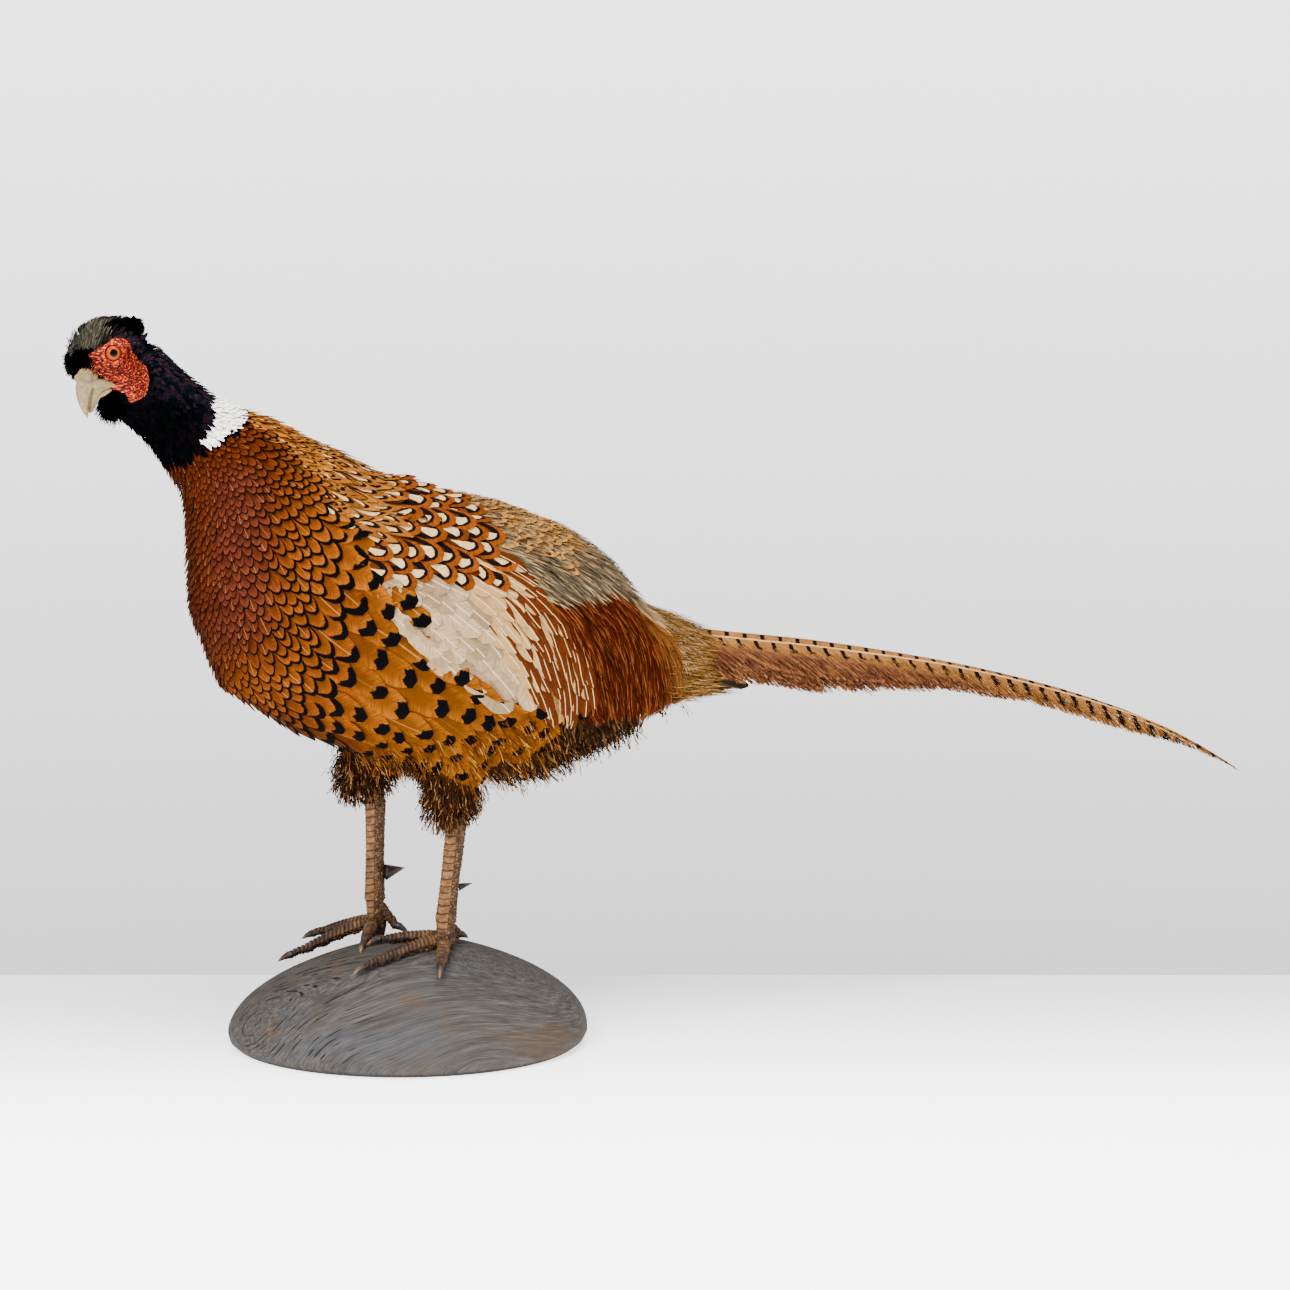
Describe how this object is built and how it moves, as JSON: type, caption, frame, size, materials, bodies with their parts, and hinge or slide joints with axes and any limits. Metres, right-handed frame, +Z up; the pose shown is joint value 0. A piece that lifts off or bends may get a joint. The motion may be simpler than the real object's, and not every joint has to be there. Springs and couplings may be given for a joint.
{
  "type": "taxidermy pheasant",
  "caption": "Mounted cock pheasant standing on an oval wooden dome, neck stretched forward, head turned and tipped to the side, long barred tail trailing behind.",
  "frame": {"origin": "centre of the wooden dome's flat underside, on the surface it stands on", "axes": "+X along the dome's length, towards the bird's tail, +Z up; the bird faces -X, turned about 20 degrees so that its left side faces -Y"},
  "size_m": [0.8096, 0.339, 0.5097],
  "materials": {
    "stand_wood": "weathered, dark stained, open grain",
    "head_plumage": "short dense feathers, black with a green gloss, olive on the crown",
    "neck_plumage": "short dense feathers, black with a blue and violet gloss, white half collar",
    "body_plumage": "overlapping feathers, copper to gold with black edges",
    "rump_plumage": "long loose feathers, olive buff above and rust below",
    "wing_plumage": "folded wing, pale grey coverts with chestnut streaks",
    "boot_plumage": "soft brown down",
    "tail_plumage": "long stiff feathers, buff with dark bars",
    "leg_scale": "dry scaled skin, satin",
    "claw_horn": "horn, satin",
    "bill_horn": "horn, satin",
    "eye_glass": "polished glass, orange iris and black pupil",
    "wattle_skin": "bare granular skin, matt"
  },
  "bodies": {
    "root": {"base_dome": "stand_wood", "head": "head_plumage", "ear_tuft_left": "head_plumage", "ear_tuft_right": "head_plumage", "bill_upper": "bill_horn", "bill_lower": "bill_horn", "eye_left": "eye_glass", "eye_right": "eye_glass", "wattle_left": "wattle_skin", "wattle_right": "wattle_skin", "neck": "neck_plumage", "trunk": "body_plumage", "rump": "rump_plumage", "undertail": "rump_plumage", "wing_left": "wing_plumage", "wing_right": "wing_plumage", "thigh_left": "boot_plumage", "thigh_right": "boot_plumage", "shank_left": "leg_scale", "shank_right": "leg_scale", "foot_left": "leg_scale", "foot_right": "leg_scale", "spur_left": "claw_horn", "spur_right": "claw_horn", "claw_inner_left": "claw_horn", "claw_inner_right": "claw_horn", "claw_middle_left": "claw_horn", "claw_middle_right": "claw_horn", "claw_outer_left": "claw_horn", "claw_outer_right": "claw_horn", "claw_hallux_left": "claw_horn", "claw_hallux_right": "claw_horn", "tail_left_1": "tail_plumage", "tail_left_2": "tail_plumage", "tail_left_3": "tail_plumage", "tail_left_4": "tail_plumage", "tail_left_5": "tail_plumage", "tail_right_1": "tail_plumage", "tail_right_2": "tail_plumage", "tail_right_3": "tail_plumage", "tail_right_4": "tail_plumage", "tail_right_5": "tail_plumage"}
  },
  "joints": []
}
